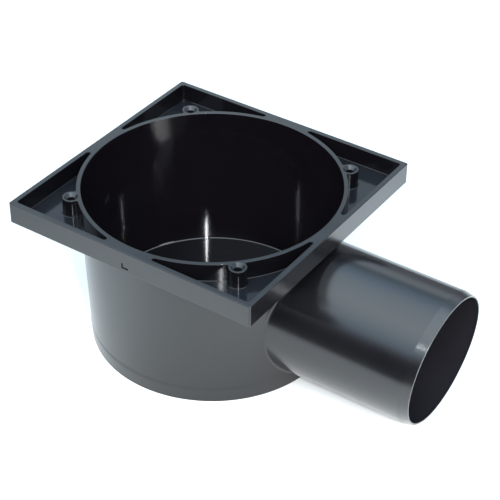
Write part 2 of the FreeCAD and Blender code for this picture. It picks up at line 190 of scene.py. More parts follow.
def addFace(skin, verts, normals, finish):
    a, b, c = (vert.co for vert in verts[:3])
    facing = (b - a).cross(c - a)
    if len(verts) == 4:
        facing = (c - a).cross(verts[3].co - b)
    if facing.dot(Vector(np.sum(normals, axis=0))) < 0:
        verts, normals = verts[::-1], normals[::-1]
    face = skin.faces.new(verts)
    face.material_index = finish
    face.smooth = True
    layer = skin.loops.layers.float_vector["surfaceNormal"]
    for loop, normal in zip(face.loops, normals):
        loop[layer] = Vector(normal)


def addGrid(skin, points, normals, finish, closed=False):
    # joins rows of points with faces; the finish is one slot, or a slot for each column
    verts = [[skin.verts.new(np.array(point) * mm) for point in row] for row in points]
    columns = len(points[0])
    for row in range(len(points) - 1):
        for column in range(columns if closed else columns - 1):
            beside = (column + 1) % columns
            cells = ((row, column), (row + 1, column), (row + 1, beside), (row, beside))
            slot = finish if isinstance(finish, int) else finish[column]
            addFace(skin, [verts[i][j] for i, j in cells], [normals[i][j] for i, j in cells], slot)


def addFlat(skin, loops, normal, finish):
    # a flat region: the first loop is its outline, the others are holes
    verts = [skin.verts.new(np.array(point) * mm) for loop in loops for point in loop]
    for triangle in tessellate_polygon([[Vector(point) for point in loop] for loop in loops]):
        addFace(skin, [verts[index] for index in triangle], [normal] * 3, finish)


def roundedProfile(points, radii, side):
    # strips of (a, b, normal a, normal b) along a bent line; a corner with no radius starts a new strip
    points = [np.array(point, float) for point in points]
    lines = [(end - start) / np.linalg.norm(end - start) for start, end in zip(points, points[1:])]
    normals = [leftOf(line) * side for line in lines]
    strip = [(*points[0], *normals[0])]
    strips = [strip]
    for index, radius in enumerate(radii):
        corner, before, after = points[index + 1], lines[index], lines[index + 1]
        turn = math.atan2(before[0] * after[1] - before[1] * after[0], before @ after)
        if radius == 0:
            strip.append((*corner, *normals[index]))
            strip = [(*corner, *normals[index + 1])]
            strips.append(strip)
            continue
        reach = radius * math.tan(abs(turn) / 2)
        swing = math.copysign(radius, turn)
        centre = corner - before * reach + leftOf(before) * swing
        for part in np.linspace(0, turn, size.roundSteps + 1):
            left = leftOf(before * math.cos(part) + leftOf(before) * math.sin(part))
            strip.append((*(centre - left * swing), *(left * side)))
    strip.append((*points[-1], *normals[-1]))
    return [np.array(dropRepeats(strip)) for strip in strips]


def dropRepeats(strip):
    kept = [strip[0]]
    for sample in strip[1:]:
        if math.dist(sample[:2], kept[-1][:2]) > tiny:
            kept.append(sample)
    return kept


def sweep(skin, strips, path, outward, finish):
    # carries a profile (distance outward, height) along a closed, level path
    for strip in strips:
        points = [[(*(at + out * away), z) for at, out in zip(path, outward)] for away, z, _, _ in strip]
        normals = [[(*(out * level), rise) for out in outward] for _, _, level, rise in strip]
        addGrid(skin, points, normals, finish, True)


def revolve(skin, strips, columns, finish, centre=(0, 0)):
    directions = [turnTo(angle) for angle in columns]
    sweep(skin, strips, [np.array(centre)] * len(directions), directions, finish)


def arcRun(centre, radius, start, end, inward, step=size.arcStep):
    # points and normals of an arc, without its last point; inward means that the normal faces the centre
    count = max(2, math.ceil(abs(end - start) / math.radians(step)))
    directions = [turnTo(angle) for angle in np.linspace(start, end, count + 1)[:-1]]
    sign = -1 if inward else 1
    return [(np.array(centre) + way * radius, way * sign) for way in directions]


# one corner of the frame: top face, pocket, screw boss and its hole
bossPlace = turnTo(quarter / 2) * size.bossReach  # middle of the boss


def pocketOutline():
    # points and normals round the pocket: along the frame's walls, then back by the ring wall and the boss
    tip, neck, boss = size.pocketTip, size.bossNeck, size.bossRadius
    tipHeight = math.sqrt((ring + tip) ** 2 - (inside - tip) ** 2)
    tipAngle = math.atan2(tipHeight, inside - tip)
    neckShare = (ring + neck) ** 2 + size.bossReach ** 2 - (boss + neck) ** 2
    neckAngle = quarter / 2 - math.acos(neckShare / (2 * (ring + neck) * size.bossReach))
    rightNeck = turnTo(neckAngle) * (ring + neck)
    rearNeck = rightNeck[::-1]
    rightTip = np.array([inside - tip, tipHeight])
    corner = np.array([inside - size.pocketCorner] * 2)
    rightWall = (np.array([inside, tipHeight]), np.array([-1.0, 0.0]))
    rearWall = (np.array([corner[0], inside]), np.array([0.0, -1.0]))
    rearTip = quarter - tipAngle
    rearFoot = ahead(angleOf(rearNeck, (0, 0)), 0)
    rearTop = ahead(angleOf(rearNeck, bossPlace), rearFoot)
    bossStart = ahead(angleOf(bossPlace, rearNeck), 0)
    bossEnd = ahead(angleOf(bossPlace, rightNeck), bossStart) - math.tau
    rightTop = ahead(angleOf(rightNeck, bossPlace), 0)
    rightFoot = ahead(angleOf(rightNeck, (0, 0)), rightTop)
    run = [rightWall]
    run += arcRun(corner, size.pocketCorner, 0, quarter, True)
    run += [rearWall]
    run += arcRun(rightTip[::-1], tip, quarter, rearTip + math.pi, True, size.tipStep)
    run += arcRun((0, 0), ring, rearTip, quarter - neckAngle, False, size.ringStep)
    run += arcRun(rearNeck, neck, rearFoot, rearTop, True, size.tipStep)
    run += arcRun(bossPlace, boss, bossStart, bossEnd, False)
    run += arcRun(rightNeck, neck, rightTop, rightFoot, True, size.tipStep)
    run += arcRun((0, 0), ring, neckAngle, tipAngle, False, size.ringStep)
    run += arcRun(rightTip, tip, tipAngle + math.pi, math.tau, True, size.tipStep)
    return [point for point, _ in run], [normal for _, normal in run]


def cornerSkin():
    skin = newSkin()
    path, voidward = pocketOutline()
    rim, depth, fillet = size.pocketRim, size.pocketDepth, size.pocketFloor
    wall = roundedProfile([(-rim, 0), (0, 0), (0, -depth), (fillet, -depth)], [rim, fillet], 1)
    sweep(skin, wall, path, voidward, walled)
    floorLoop = [(*(at + way * fillet), -depth) for at, way in zip(path, voidward)]
    addFlat(skin, [floorLoop], (0, 0, 1), floored)

    hole, lead = size.holeRadius, size.leadIn
    leadTurn = quarter / 2  # the lead-in slopes at half a right angle
    flat = lead + size.leadRound * math.tan(leadTurn / 2)
    holeAngles = np.linspace(0, math.tau, size.holeColumns, endpoint=False)
    holeLine = [(flat, 0), (lead, 0), (hole, hole - lead), (hole, -depth), (0, -depth)]
    revolve(skin, roundedProfile(holeLine, [size.leadRound, 0, 0], -1), holeAngles, satin, bossPlace)

    edge, straight = half - size.rimRound, half - size.frameCorner
    topCorner = size.frameCorner - size.rimRound
    outer = arcRun((straight, straight), topCorner, 0, quarter, False, size.cornerStep)
    outline = [(edge, 0)] + [point for point, _ in outer] + [(straight, edge), (0, edge)]
    mouthRun = [turnTo(angle) * (mouth + size.rimRound) for angle in columnAngles[: perQuarter + 1]]
    top = [(*point, 0) for point in outline + mouthRun[::-1]]
    pocketLoop = [(*(at - way * rim), 0) for at, way in zip(path, voidward)]
    leadLoop = [(*(bossPlace + turnTo(angle) * flat), 0) for angle in holeAngles]
    addFlat(skin, [top, pocketLoop, leadLoop], (0, 0, 1), satin)
    return skin


# square frame: outer wall with the gate's recess, and underside
def framePath():
    # points and normals round the frame, from the middle of its right-hand side
    run = []
    for side in range(sides):
        start = side * quarter
        first, last = turnTo(start), turnTo(start + quarter)
        centre = (first + last) * (half - size.frameCorner)
        arc = arcRun(centre, size.frameCorner, start, start + quarter, False, size.cornerStep)
        run += [(first * half, first)] + arc + [(centre + last * size.frameCorner, last)]
    return [point for point, _ in run], [normal for _, normal in run]


def addFrame(skin):
    path, outward = framePath()
    rim, under, depth = size.rimRound, size.underRound, size.frameHeight
    (strip,) = roundedProfile([(-rim, 0), (0, 0), (0, -depth), (-under, -depth)], [rim, under], 1)
    split = len(strip) // 2
    sweep(skin, [strip[:split], strip[split:]], path, outward, satin)

    top, base = strip[split - 1][1], strip[split][1]
    perSide = len(path) // sides
    front = (sides - 1) * perSide  # middle of the front side, which has the gate
    for column in range(len(path)):
        if column in (front - 1, front):
            continue
        ends = (column, (column + 1) % len(path))
        points = [[(*path[index], z) for index in ends] for z in (top, base)]
        addGrid(skin, points, [[(*outward[index], 0) for index in ends]] * 2, satin)
    addGate(skin, top, base)

    underLoop = [(*(at - out * under), -depth) for at, out in zip(path, outward)]
    cupLoop = [(*(turnTo(angle) * outerRadius(-depth)), -depth) for angle in columnAngles]
    for side in range(sides):
        edge = (underLoop + underLoop[:1])[side * perSide: (side + 1) * perSide + 1]
        neck = (cupLoop + cupLoop[:1])[side * perQuarter: (side + 1) * perQuarter + 1]
        addFlat(skin, [edge + neck[::-1]], (0, 0, -1), satin)


def addGate(skin, top, base):
    # the front wall in two halves, each round its half of the gate's recess
    straight, back = half - size.frameCorner, size.gateDepth - half
    gateX, gateLow = size.gateWidth / 2, size.gateLift - size.frameHeight
    gateHigh = gateLow + size.gateHeight
    gate = [(0, gateLow), (gateX, gateLow), (gateX, gateHigh), (0, gateHigh)]
    wall = [(0, top), (straight, top), (straight, base), (0, base)]
    for side in (-1, 1):
        addFlat(skin, [[(side * x, -half, z) for x, z in wall + gate]], (0, -1, 0), satin)
        addFlat(skin, [[(side * x, back, z) for x, z in gate]], (0, -1, 0), satin)
        for (x0, z0), (x1, z1) in zip(gate, gate[1:]):
            facing = np.array([side * (z0 - z1), 0, x1 - x0]) / math.dist((x0, z0), (x1, z1))
            points = [[(side * x0, y, z0), (side * x1, y, z1)] for y in (-half, back)]
            addGrid(skin, points, [[facing] * 2] * 2, satin)


# outside of the cup, with the outlet growing out of it
def conePoint(angle, z):
    return np.array([*(turnTo(angle) * outerRadius(z)), z])


def coneNormal(angle):
    return np.array([*(turnTo(angle) * math.cos(draft)), -math.sin(draft)])


def bandShare(z):
    # how far the faint step above the foot stands out at a height, and its slope
    rise = z + size.height
    if rise >= size.bandTop:
        return 0.0, 0.0
    fall = rise / (size.bandTop - size.bandSoft)
    if fall < 1:
        return fall, 1 / (size.bandTop - size.bandSoft)
    part = min(1.0, (size.bandTop - rise) / size.bandSoft)  # it comes in along a smooth curve
    return part * part * (3 - 2 * part), -6 * part * (1 - part) / size.bandSoft


def wallPoint(angle, z, amount):
    share, _ = bandShare(z)
    return conePoint(angle, z) + np.array([*turnTo(angle), 0]) * share * size.bandStep * amount


def wallNormal(angle, z, amount):
    _, run = bandShare(z)
    normal = np.array([*turnTo(angle), -slope - run * size.bandStep * amount])
    return normal / np.linalg.norm(normal)


def outletBall(theta):
    # middle of a ball that touches the cup and the outlet, which draws the fillet between them
    y, rise = turnTo(theta) * (size.outletRadius + size.saddle)
    z = size.outletAxis + rise
    x = math.sqrt((outerRadius(z) + size.saddle / math.cos(draft)) ** 2 - y ** 2)
    return np.array([x, y, z])


def saddleFoot(theta):
    # where the fillet meets the cup, as an angle round the cup and a height
    ball = outletBall(theta)
    angle = math.atan2(ball[1], ball[0])
    return angle, ball[2] + size.saddle * math.sin(draft)


def sectorBorder(columns, rows, reach):
    # border of a stretch of wall, anticlockwise from its lower corner: (angle, height) pairs
    angles = np.linspace(-reach, reach, 2 * columns + 1)
    right = [(reach, z) for z in rows[::-1][:-1]]
    upper = [(angle, rows[0]) for angle in angles[::-1][:-1]]
    left = [(-reach, z) for z in rows[:-1]]
    lower = [(angle, rows[-1]) for angle in angles[:-1]]
    return right + upper + left + lower


def layersBetween(border, curve, parts):
    # (angle, height) pairs in layers that lead from a border to a curve
    border, curve = np.array(border), np.array(curve)
    return [border * (1 - part) + curve * part for part in parts]


def evenAngles(columns):
    # the columns of the even wall, from one side of the outlet round to the other
    return [index * columnStep for index in range(columns, size.around - columns + 1)]


def blendDirection(start, end, part):
    # a direction that turns evenly from one to another
    angle = math.acos(max(-1.0, min(1.0, float(start @ end))))
    return (start * math.sin((1 - part) * angle) + end * math.sin(part * angle)) / math.sin(angle)


def addCupOutside(skin):
    widest = max(saddleFoot(theta)[0] for theta in np.linspace(0, math.tau, size.rootTries))
    columns = math.ceil((widest + math.radians(size.outletMargin)) / columnStep)
    reach = columns * columnStep
    bandZ = size.bandTop - size.height
    rows = np.concatenate([np.linspace(-size.frameHeight, bandZ, size.outletRows + 1),
                           np.linspace(bandZ, bandZ - size.bandSoft, size.bandRows + 1)[1:],
                           np.linspace(bandZ - size.bandSoft, footTop, size.footRows + 1)[1:]])
    border = sectorBorder(columns, rows, reach)
    middle, tall = (rows[0] + rows[-1]) / 2, (rows[0] - rows[-1]) / 2
    thetas = np.array([math.atan2((z - middle) / tall, angle / reach) for angle, z in border])
    for exact in (sill, -math.pi - sill):  # a column at each end of the sill
        thetas[np.argmin(np.abs(thetas - exact))] = exact

    parts = np.linspace(0, 1, size.wallLayers + 1)
    layers = layersBetween(border, [saddleFoot(theta) for theta in thetas], parts)
    points = [[wallPoint(*place, 1 - part) for place in layer] for part, layer in zip(parts, layers)]
    normals = [[wallNormal(*place, 1 - part) for place in layer] for part, layer in zip(parts, layers)]
    addGrid(skin, points, normals, satin, True)

    even = evenAngles(columns)
    points = [[wallPoint(angle, z, 1) for angle in even] for z in rows]
    normals = [[wallNormal(angle, z, 1) for angle in even] for z in rows]
    addGrid(skin, points, normals, satin)

    balls = [outletBall(theta) for theta in thetas]
    starts = [coneNormal(math.atan2(ball[1], ball[0])) for ball in balls]
    ends = [np.array([0, *turnTo(theta)]) for theta in thetas]
    fillet = [[blendDirection(start, end, part) for start, end in zip(starts, ends)]
              for part in np.linspace(0, 1, size.saddleRows + 1)]
    points = [[ball - way * size.saddle for ball, way in zip(balls, row)] for row in fillet]
    addGrid(skin, points, fillet, satin, True)
    return thetas, [ball[0] for ball in balls]


def addFoot(skin):
    # foot ring, and the hollow in it up to the underside of the floor
    outer = outerRadius(-size.height)
    inner, roof = outer - size.footWall, floorZ - size.floorThickness
    start = (outerRadius(footTop) + bandShare(footTop)[0] * size.bandStep, footTop)
    line = [start, (outer, -size.height), (inner, -size.height), (inner, roof), (0, roof)]
    profile = roundedProfile(line, [size.footEdge, size.footEdge, size.footFillet], 1)
    revolve(skin, profile, columnAngles, satin)


# outlet: tube, bevelled end and bore
def outletPoint(theta, radius, behind):
    # a point of the outlet, by its distance behind the leaning end
    y, rise = turnTo(theta) * radius
    return np.array([size.outletEnd + rise * lean - behind, y, size.outletAxis + rise])


def outletNormal(theta, sample):
    # the profile's normal, carried round and tipped with the leaning end
    radius, _, normalOut, normalAlong = sample
    way = turnTo(theta)
    around = np.array([way[0] * lean, *leftOf(way)]) * radius
    tangent = np.array([normalOut - normalAlong * way[1] * lean, *(-normalAlong * way)])
    normal = np.cross(around, tangent)
    normal /= np.linalg.norm(normal)
    wanted = np.array([normalAlong, *(way * normalOut)])
    return normal if normal @ wanted > 0 else -normal


def toolMarks(start, end):
    # samples along the bevel, with normals that swing to and fro
    marks = []
    for index, part in enumerate(np.linspace(0, 1, 2 * size.turnMarks + 1)):
        radius, along, *normal = start * (1 - part) + end * part
        keep, swing = turnTo(math.radians(size.turnTilt) * (-1) ** index)
        marks.append((radius, along, *(np.array(normal) * keep + leftOf(normal) * swing)))
    return marks


def addOutlet(skin, thetas, roots):
    radius, bevel, run = size.outletRadius, size.bevelLength, size.endRun
    line = [(radius, -bevel - run), (radius, -bevel), (bore + size.outletLip, 0), (bore, 0), (bore, -run)]
    tube, end = roundedProfile(line, [0, size.lipRound, size.lipRound], -1)
    rings = []
    for strip in (tube, toolMarks(end[0], end[1]), end[1:]):
        points = [[outletPoint(theta, sample[0], -sample[1]) for theta in thetas] for sample in strip]
        normals = [[outletNormal(theta, sample) for theta in thetas] for sample in strip]
        addGrid(skin, points, normals, satin, True)
        rings += points

    out = [np.array([0, *turnTo(theta)]) for theta in thetas]
    heads = [point[0] for point in rings[0]]
    rows = [[(head * part + root * (1 - part), *(way[1:] * radius + (0, size.outletAxis)))
             for head, root, way in zip(heads, roots, out)]
            for part in np.linspace(0, 1, size.tubeRows + 1)]
    addGrid(skin, rows, [out] * len(rows), satin, True)
    return [point[0] for point in rings[-1]]


def boreMeets(theta, radiusAt):
    # where the bore's wall meets a round surface about the cup's axis
    y, rise = turnTo(theta) * bore
    z = size.outletAxis + rise
    return np.array([math.sqrt(radiusAt(z) ** 2 - y ** 2), y, z])


def addBore(skin, thetas, tails):
    # bore from the outlet's end back to the cup's outside
    inward = [np.array([0, *(-turnTo(theta))]) for theta in thetas]
    walls = [boreMeets(theta, outerRadius) for theta in thetas]
    rows = [[(tail * (1 - part) + wall[0] * part, *wall[1:]) for tail, wall in zip(tails, walls)]
            for part in np.linspace(0, 1, size.tubeRows + 1)]
    plain, rest = rows[: size.plainRows + 1], rows[size.plainRows:]
    finish = [coarse if math.sin(theta) > size.coarseFrom else dull for theta in thetas]
    addGrid(skin, plain, [inward] * len(plain), dull, True)
    addGrid(skin, rest, [inward] * len(rest), finish, True)
    return walls


# inside of the cup: mouth, wall with the way into the outlet, filleted floor
filletX = innerRadius(floorZ) - size.floorFillet * math.tan((quarter - draft) / 2)
filletZ = floorZ + size.floorFillet
filletTop = filletZ - size.floorFillet * math.sin(draft)


def insideRadius(z):
    if z >= filletTop:
        return innerRadius(z)
    return filletX + math.sqrt(max(0.0, size.floorFillet ** 2 - (filletZ - z) ** 2))


def insidePlace(angle, z):
    # a point of the wall or its fillet, and the normal there
    upright = np.clip((-z - size.straightFrom) / (size.straightTo - size.straightFrom), 0, 1)
    aside = math.acos(np.clip(math.cos(angle - math.radians(size.straightAt)), -1, 1))
    upright *= np.clip(2 - 2 * aside / math.radians(size.straightWide), 0, 1)  # fades over the outer half
    tip = draft * (1 - upright)
    if z < filletTop:
        tip = math.asin(min(1.0, (filletZ - z) / size.floorFillet))
    way = turnTo(angle)
    return np.array([*(way * insideRadius(z)), z]), np.array([*(way * -math.cos(tip)), math.sin(tip)])


def insideRows(archPlaces):
    # columns of wall kept beside the bore's arch, and rows that run along with it, so no face folds over
    widest = max(angle for angle, _ in archPlaces)
    columns = math.ceil((widest + math.radians(size.outletMargin) / 2) / columnStep)
    sideRows = (len(archPlaces) - 1) // 2 - columns
    heights = [z for _, z in archPlaces]
    first = size.filletRows
    level = int(np.argmin(np.abs(np.array(heights[:sideRows]) - size.outletAxis)))
    ends = [heights[first], heights[level]]
    beside = np.interp(heights[first: level + 1], ends, [filletTop, heights[level]])
    above = np.linspace(heights[level], -size.innerTop, sideRows - level + 1)[1:]
    turns = np.linspace(draft, quarter, size.filletRows + 1)[1:]
    rows = np.concatenate([above[::-1], beside[::-1], filletZ - size.floorFillet * np.sin(turns)])
    rows[-1] = floorZ
    return columns, rows


def addPlaces(skin, places):
    points = [[point for point, _ in row] for row in places]
    normals = [[normal for _, normal in row] for row in places]
    addGrid(skin, points, normals, polished)


def addCupInside(skin, thetas, walls):
    mouthLine = [(mouth + size.rimRound, 0), (mouth, 0), (innerRadius(-size.innerTop), -size.innerTop)]
    revolve(skin, roundedProfile(mouthLine, [size.rimRound], -1), columnAngles, polished)

    start = sill - tiny
    order = np.argsort([ahead(theta, start) for theta in thetas])
    arch = [index for index in order if ahead(thetas[index], start) <= math.pi - start]
    feet = [boreMeets(thetas[index], insideRadius) for index in arch]
    archPlaces = [(math.atan2(foot[1], foot[0]), foot[2]) for foot in feet]
    columns, rows = insideRows(archPlaces)
    border = sectorBorder(columns, rows, columns * columnStep)[: len(arch)]
    layers = layersBetween(border, archPlaces, np.linspace(0, 1, size.archLayers + 1))
    addPlaces(skin, [[insidePlace(angle, z) for angle, z in layer] for layer in layers])
    even = evenAngles(columns)
    addPlaces(skin, [[insidePlace(angle, z) for angle in even] for z in rows])

    # bore through the wall, sill and the step below it
    inward = [np.array([0, *(-turnTo(thetas[index]))]) for index in arch]
    addGrid(skin, [[walls[index] for index in arch], feet], [inward, inward], polished)
    sillAngle = archPlaces[0][0]
    sillAngles = np.linspace(sillAngle, -sillAngle, size.sillSteps + 1)
    sillRun = [insidePlace(angle, floorZ)[0] for angle in sillAngles]
    lowest = [index for index in order if index not in arch[1:-1]]
    lowRun = sorted((walls[index] for index in lowest), key=lambda wall: wall[1])
    stepRun = [np.array([math.sqrt(outerRadius(floorZ) ** 2 - y ** 2), y, floorZ]) for _, y, _ in lowRun]
    stepNormals = [coneNormal(math.atan2(y, x)) for x, y, _ in stepRun]
    addGrid(skin, [stepRun, lowRun], [stepNormals, stepNormals], polished)
    addFlat(skin, [sillRun + stepRun], (0, 0, 1), polished)

    rightFloor = [insidePlace(layer[0][0], floorZ)[0] for layer in layers]
    leftFloor = [point * (1, -1, 1) for point in rightFloor[::-1]]
    rest = [insidePlace(angle, floorZ)[0] for angle in even[1:-1]]
    floorLoop = rightFloor + sillRun[1:-1] + leftFloor + rest[::-1]
    addFlat(skin, [floorLoop], (0, 0, 1), polished)


def skinMesh(skin, name):
    bmesh.ops.remove_doubles(skin, verts=skin.verts, dist=size.weld * mm)
    openEdges = sum(1 for edge in skin.edges if len(edge.link_faces) != 2)
    mesh = bpy.data.meshes.new(name)
    skin.to_mesh(mesh)
    skin.free()
    print(name, len(mesh.vertices), "points,", len(mesh.polygons), "faces,", openEdges, "open edges")
    return mesh


def setNormals(mesh):
    # hands the stored surface normals over as the mesh's own
    stored = mesh.attributes["surfaceNormal"]
    normals = np.empty(len(mesh.loops) * 3, dtype=np.float32)
    stored.data.foreach_get("vector", normals)
    mesh.attributes.remove(stored)
    mesh.normals_split_custom_set(normals.reshape(-1, 3).tolist())


def addObject(name, data):
    made = bpy.data.objects.new(name, data)
    bpy.context.scene.collection.objects.link(made)
    return made


# node helpers, for Geometry Nodes and materials
def newTree(name, inputs):
    tree = bpy.data.node_groups.new(name, "GeometryNodeTree")
    for label, kind in inputs.items():
        tree.interface.new_socket(label, in_out="INPUT", socket_type=f"NodeSocket{kind}")
    tree.interface.new_socket("Geometry", in_out="OUTPUT", socket_type="NodeSocketGeometry")
    return tree, tree.nodes.new("NodeGroupInput"), tree.nodes.new("NodeGroupOutput")


def newMaterial(name):
    material = bpy.data.materials.new(name)
    material.use_nodes = True
    tree = material.node_tree
    place = tree.nodes.new("ShaderNodeTexCoord").outputs["Object"]
    return material, tree, tree.nodes["Principled BSDF"], place


def addNode(tree, kind, inputs=None, **settings):
    made = tree.nodes.new(kind)
    for name, value in settings.items():
        setattr(made, name, value)
    for name, value in (inputs or {}).items():
        fillSocket(tree, made.inputs[name], value)
    return made


def fillSocket(tree, socket, value):
    # a value is set, and another node's socket is linked
    if isinstance(value, bpy.types.NodeSocket):
        tree.links.new(value, socket)
    else:
        socket.default_value = value


def mixColours(tree, share, ends):
    mix = addNode(tree, "ShaderNodeMix", {"Factor": share}, data_type="RGBA")
    for socket, end in zip([socket for socket in mix.inputs if socket.type == "RGBA"], ends):
        fillSocket(tree, socket, end)
    return next(socket for socket in mix.outputs if socket.type == "RGBA")


def grow(obj, tree, values):
    # runs a tree on an object and gives back the plain mesh
    modifier = obj.modifiers.new(tree.name, "NODES")
    modifier.node_group = tree
    for item in tree.interface.items_tree:
        if item.in_out == "INPUT" and item.name in values:
            modifier[item.identifier] = values[item.name]
    bpy.context.scene.collection.objects.link(obj)
    graph = bpy.context.evaluated_depsgraph_get()
    grown = obj.evaluated_get(graph)
    mesh = bpy.data.meshes.new_from_object(grown, preserve_all_data_layers=True, depsgraph=graph)
    bpy.data.objects.remove(obj)
    return mesh


# repeats the corner round the frame and turns its normals with it
def cornersTree():
    tree, given, out = newTree("cornersRound", {
        "Geometry": "Geometry", "Corners": "Int", "Satin": "Material",
        "Walled": "Material", "Floored": "Material"})
    points = addNode(tree, "GeometryNodePoints", {"Count": given.outputs["Corners"]})
    share = addNode(tree, "ShaderNodeMath", {0: math.tau, 1: given.outputs["Corners"]}, operation="DIVIDE")
    index = addNode(tree, "GeometryNodeInputIndex")
    turn = addNode(tree, "ShaderNodeMath", {0: index.outputs[0], 1: share.outputs[0]}, operation="MULTIPLY")
    euler = addNode(tree, "ShaderNodeCombineXYZ", {"Z": turn.outputs[0]})
    rotation = addNode(tree, "FunctionNodeEulerToRotation", {"Euler": euler.outputs[0]})
    spread = addNode(tree, "GeometryNodeInstanceOnPoints", {
        "Points": points.outputs[0], "Instance": given.outputs["Geometry"],
        "Rotation": rotation.outputs[0]})
    marked = addNode(tree, "GeometryNodeStoreNamedAttribute", {
        "Geometry": spread.outputs[0], "Name": "turn", "Value": turn.outputs[0]},
        data_type="FLOAT", domain="INSTANCE")
    real = addNode(tree, "GeometryNodeRealizeInstances", {"Geometry": marked.outputs[0]})
    normal = addNode(tree, "GeometryNodeInputNamedAttribute", {
        "Name": "surfaceNormal"}, data_type="FLOAT_VECTOR")
    angle = addNode(tree, "GeometryNodeInputNamedAttribute", {"Name": "turn"}, data_type="FLOAT")
    turned = addNode(tree, "ShaderNodeVectorRotate", {
        "Vector": normal.outputs[0], "Angle": angle.outputs[0]}, rotation_type="Z_AXIS")
    kept = addNode(tree, "GeometryNodeStoreNamedAttribute", {
        "Geometry": real.outputs[0], "Name": "surfaceNormal", "Value": turned.outputs[0]},
        data_type="FLOAT_VECTOR", domain="CORNER")
    clean = addNode(tree, "GeometryNodeRemoveAttribute", {"Geometry": kept.outputs[0], "Name": "turn"})
    dressed = addNode(tree, "GeometryNodeSetMaterial", {
        "Geometry": clean.outputs[0], "Material": given.outputs["Satin"]})
    for name in pocketFinishes:
        there = addNode(tree, "GeometryNodeInputNamedAttribute", {"Name": name}, data_type="BOOLEAN")
        dressed = addNode(tree, "GeometryNodeSetMaterial", {
            "Geometry": dressed.outputs[0], "Selection": there.outputs[0],
            "Material": given.outputs[name]})
    tree.links.new(dressed.outputs[0], out.inputs[0])
    return tree


# black moulded plastic: satin outside, smoother in the pockets and the cup, dull and coarse in the bore; the
# pocket floors are painted paler than the pocket walls, a painted lit tone on one plastic
plasticLook = {
    "satin": {"dark": (0.0035, 0.0033, 0.004), "pale": (0.006, 0.0057, 0.0065),
              "rough": (0.17, 0.22), "grain": 0.05, "shine": 0.5},
    "walled": {"dark": (0.003, 0.0026, 0.0034), "pale": (0.0045, 0.004, 0.005),
               "rough": (0.08, 0.1), "grain": 0.01, "shine": 0.3},
    # pocket floors: the same plastic as the walls, painted paler where light falls on them
    "floored": {"dark": (0.006, 0.0066, 0.0084), "pale": (0.0095, 0.0103, 0.0127),
                "rough": (0.1, 0.13), "grain": 0.02, "shine": 0.36},
    "polished": {"dark": (0.003, 0.0022, 0.003), "pale": (0.0045, 0.0036, 0.0046),
                 "rough": (0.07, 0.1), "grain": 0.01, "shine": 0.5},
    "dull": {"dark": (0.0075, 0.007, 0.0088), "pale": (0.011, 0.0102, 0.0124),
             "rough": (0.15, 0.19), "grain": 0.03, "shine": 0.5},
    "coarse": {"dark": (0.0075, 0.007, 0.0088), "pale": (0.011, 0.0102, 0.0124),
               "rough": (0.55, 0.65), "grain": 0.1, "shine": 0.5},
    "cloudScale": 45.0,  # per metre
    "cloudDetail": 4.0,
    "cloudRange": (0.3, 0.7),  # between which the roughness goes from its first value to its second
    "grainScale": 2600.0,  # per metre
    "grainDetail": 2.0,
    "grainDepth": 0.05,  # mm
    "ior": 1.5,
}


def plastic(name):
    look = plasticLook[name]
    material, tree, shader, place = newMaterial(name + "Plastic")
    cloud = addNode(tree, "ShaderNodeTexNoise", {
        "Vector": place, "Scale": plasticLook["cloudScale"], "Detail": plasticLook["cloudDetail"]})
    share = cloud.outputs["Fac"]
    colour = mixColours(tree, share, [(*look["dark"], 1), (*look["pale"], 1)])
    tree.links.new(colour, shader.inputs["Base Color"])
    least, most = plasticLook["cloudRange"]
    smooth, rough = look["rough"]
    wear = addNode(tree, "ShaderNodeMapRange", {
        "Value": share, "From Min": least, "From Max": most, "To Min": smooth, "To Max": rough})
    tree.links.new(wear.outputs[0], shader.inputs["Roughness"])
    grain = addNode(tree, "ShaderNodeTexNoise", {
        "Vector": place, "Scale": plasticLook["grainScale"], "Detail": plasticLook["grainDetail"]})
    bump = addNode(tree, "ShaderNodeBump", {
        "Height": grain.outputs["Fac"], "Strength": look["grain"],
        "Distance": plasticLook["grainDepth"] * mm})
    tree.links.new(bump.outputs[0], shader.inputs["Normal"])
    shader.inputs["IOR"].default_value = plasticLook["ior"]
    shader.inputs["Specular IOR Level"].default_value = look["shine"]
    return material


plastics = [plastic(name) for name in finishes]
print("materials ready")

cornerMesh = skinMesh(cornerSkin(), "cornerSeed")
for slot in (satin, walled, floored):
    cornerMesh.materials.append(plastics[slot])
for name, slot in pocketFinishes.items():
    layer = cornerMesh.attributes.new(name, "BOOLEAN", "FACE")
    layer.data.foreach_set("value", [face.material_index == slot for face in cornerMesh.polygons])
corners = grow(bpy.data.objects.new("cornerSeed", cornerMesh), cornersTree(), {
    "Corners": sides, "Satin": plastics[satin],
    "Walled": plastics[walled], "Floored": plastics[floored]})
print("corners repeated:", len(corners.polygons), "faces")

skin = bmesh.new()
skin.from_mesh(corners)
addFrame(skin)
thetas, roots = addCupOutside(skin)
addFoot(skin)
tails = addOutlet(skin, thetas, roots)
walls = addBore(skin, thetas, tails)
addCupInside(skin, thetas, walls)
bodyMesh = skinMesh(skin, "drainBody")
for name in pocketFinishes:
    bodyMesh.attributes.remove(bodyMesh.attributes[name])
for material in plastics:
    bodyMesh.materials.append(material)
setNormals(bodyMesh)
drainBody = addObject("drainBody", bodyMesh)
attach(drainBody, "root")
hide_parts("drain_body")
print("drain body built")


# faint parting line down the cup's side
seamLook = {
    "angle": -53.5,  # degrees from the outlet
    "top": 30.0,  # mm below the frame's top face
    "bottom": 84.0,
    "width": 0.13,  # mm to each side
    "sunk": 0.05,  # mm of its middle below the wall
    "points": 25,
    "facets": 10,
    "thinnest": 0.02,  # least share of the width, before the taper
    "taper": 0.35,  # power of that share, which keeps it wide until near its ends
}


